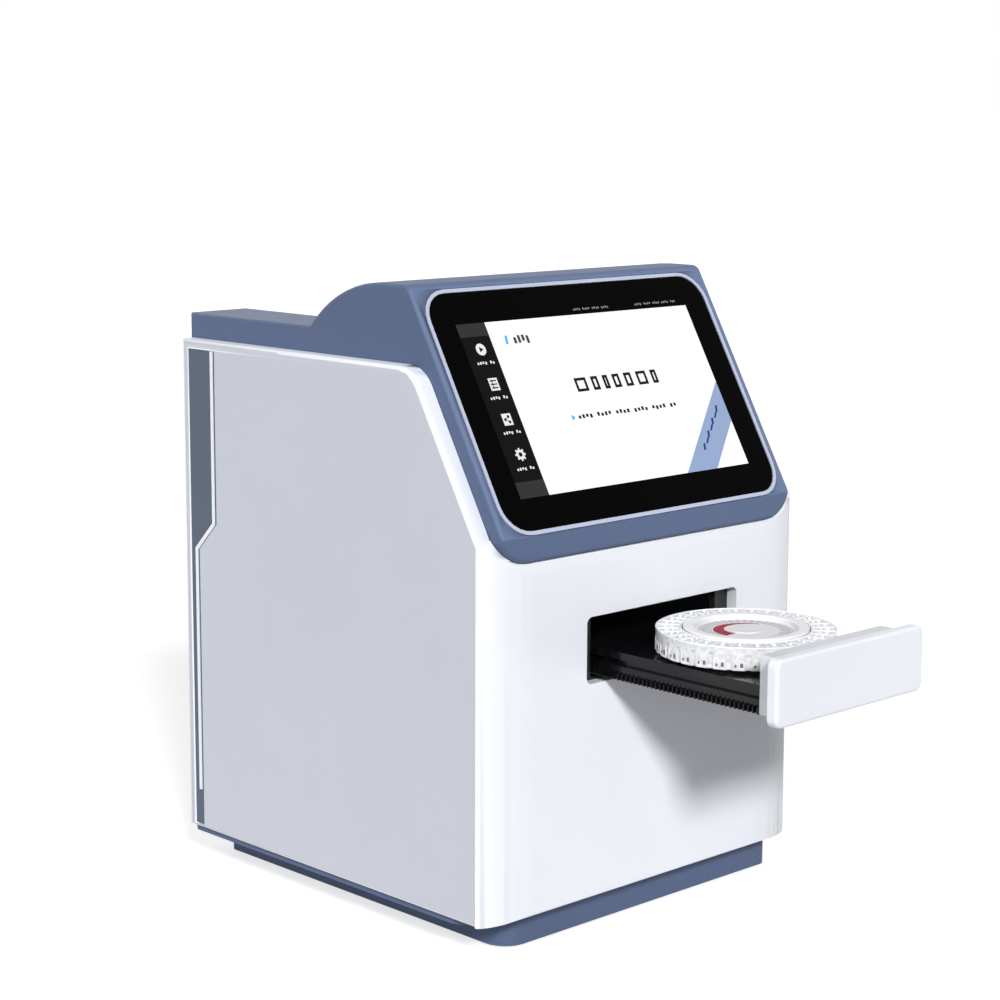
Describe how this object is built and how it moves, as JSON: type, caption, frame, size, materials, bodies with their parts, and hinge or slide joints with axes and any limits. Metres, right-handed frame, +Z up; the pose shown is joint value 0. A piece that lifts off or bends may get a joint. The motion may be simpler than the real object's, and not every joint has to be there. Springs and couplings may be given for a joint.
{
  "type": "dry biochemistry analyzer",
  "caption": "Bench-top dry chemistry blood analyzer: sloping touch screen in a slate hood on a white cabinet, motor drawer out with a clear reagent disc, receipt printer in the rear deck.",
  "frame": {"origin": "on the table, under the middle of the whole object's footprint with the drawer out", "axes": "+X across the machine, towards the right edge of the screen as read; +Y from the drawer's front to the rear panel; +Z up"},
  "size_m": [0.208, 0.3268, 0.296],
  "materials": {
    "base_plinth": "slate blue moulded plastic, fine texture",
    "chassis_plate": "plain zinc-plated sheet",
    "disc_cover": "white plastic",
    "disc_label": "white label with a red arc",
    "display_rim": "pale silver-blue bright edge",
    "drawer_bezel": "dark grey moulded plastic",
    "drawer_block": "light grey satin plastic",
    "drawer_front": "smooth cool white satin plastic",
    "drawer_tray": "glossy black plastic",
    "drive_motor": "black motor body",
    "drive_pinion": "natural acetal",
    "fan_frame": "black moulded plastic",
    "fan_rotor": "black moulded plastic",
    "rubber_feet": "black rubber",
    "front_shell": "smooth cool white satin plastic",
    "io_ports": "plated port shells",
    "lcd_module": "dark coated display backing",
    "guide_rails": "dark low-friction plastic",
    "side_panels": "silver white satin plastic",
    "side_strips": "dark slate satin inlay",
    "trim_lines": "white bead",
    "main_board": "green circuit board",
    "mechanism_frame": "folded zinc-plated sheet",
    "paper_roll": "white thermal paper",
    "photometer_detector": "green detector board",
    "photometer_head": "matt black light-tight housing",
    "photometer_lamp": "matt black lamp block",
    "platen_roller": "black rubber roller",
    "power_inlet": "black moulded plastic, bright pins",
    "power_rocker": "black gloss rocker",
    "power_supply": "slotted sheet case",
    "print_head": "dark anodised heat sink",
    "printer_housing": "slate blue moulded plastic",
    "printer_lid": "slate blue moulded plastic",
    "printer_release_button": "dark slate plastic",
    "reagent_disc": "clear polystyrene",
    "rear_panel": "silver white satin plastic",
    "screen_glass": "black touch glass with the display lit behind it",
    "spindle_hub": "turned aluminium",
    "spindle_motor": "plated motor can",
    "switch_housing": "black moulded plastic",
    "top_hood": "slate blue moulded plastic, fine texture"
  },
  "bodies": {
    "cabinet": {"base_plinth": "base_plinth", "chassis_plate": "chassis_plate", "display_rim": "display_rim", "drawer_bezel": "drawer_bezel", "drive_motor": "drive_motor", "fan_frame": "fan_frame", "front_left_foot": "rubber_feet", "front_right_foot": "rubber_feet", "front_shell": "front_shell", "io_ports": "io_ports", "lcd_module": "lcd_module", "left_guide_rail": "guide_rails", "left_side_panel": "side_panels", "left_side_strip": "side_strips", "left_trim_line": "trim_lines", "main_board": "main_board", "mechanism_frame": "mechanism_frame", "paper_roll": "paper_roll", "photometer_detector": "photometer_detector", "photometer_head": "photometer_head", "photometer_lamp": "photometer_lamp", "power_inlet": "power_inlet", "power_supply": "power_supply", "print_head": "print_head", "printer_housing": "printer_housing", "rear_left_foot": "rubber_feet", "rear_panel": "rear_panel", "rear_right_foot": "rubber_feet", "right_guide_rail": "guide_rails", "right_side_panel": "side_panels", "right_side_strip": "side_strips", "right_trim_line": "trim_lines", "screen_glass": "screen_glass", "spindle_motor": "spindle_motor", "switch_housing": "switch_housing", "top_hood": "top_hood"},
    "drawer": {"drawer_front": "drawer_front", "drawer_block": "drawer_block", "drawer_tray": "drawer_tray"},
    "disc": {"reagent_disc": "reagent_disc", "disc_cover": "disc_cover", "disc_label": "disc_label"},
    "pinion": {"drive_pinion": "drive_pinion"},
    "spindle": {"spindle_hub": "spindle_hub"},
    "fan": {"fan_rotor": "fan_rotor"},
    "lid": {"printer_lid": "printer_lid", "platen_roller": "platen_roller"},
    "release_button": {"printer_release_button": "printer_release_button"},
    "rocker": {"power_rocker": "power_rocker"}
  },
  "joints": [
    {"name": "drawer_slide", "type": "slide", "parent": "cabinet", "child": "drawer", "axis": [0, 1, 0], "range_m": [0, 0.1085]},
    {"name": "pinion_spin", "type": "hinge", "parent": "cabinet", "child": "pinion", "pos_m": [-0.0405, -0.02605, 0.1212], "axis": [0, 0, 1], "continuous": true},
    {"name": "disc_turn", "type": "hinge", "parent": "drawer", "child": "disc", "pos_m": [0.0079, -0.10395, 0.1352], "axis": [0, 0, 1], "continuous": true},
    {"name": "spindle_spin", "type": "hinge", "parent": "cabinet", "child": "spindle", "pos_m": [0.0079, 0.00455, 0.1047], "axis": [0, 0, 1], "continuous": true},
    {"name": "fan_spin", "type": "hinge", "parent": "cabinet", "child": "fan", "pos_m": [-0.04, 0.15195, 0.15], "axis": [0, 1, 0], "continuous": true},
    {"name": "printer_lid_hinge", "type": "hinge", "parent": "cabinet", "child": "lid", "pos_m": [0, 0.15885, 0.2633], "axis": [-1, 0, 0], "range_deg": [0, 85]},
    {"name": "release_button_press", "type": "slide", "parent": "cabinet", "child": "release_button", "axis": [0, 0, -1], "range_m": [0, 0.0012], "stiffness_N_per_m": 400},
    {"name": "power_rocker_tilt", "type": "hinge", "parent": "cabinet", "child": "rocker", "pos_m": [-0.066, 0.15555, 0.085], "axis": [0, 0, 1], "range_deg": [0, 18]}
  ],
  "couplings": [
    {"joint": "pinion_spin", "follows": "drawer_slide", "rad_per_m": 125}
  ]
}
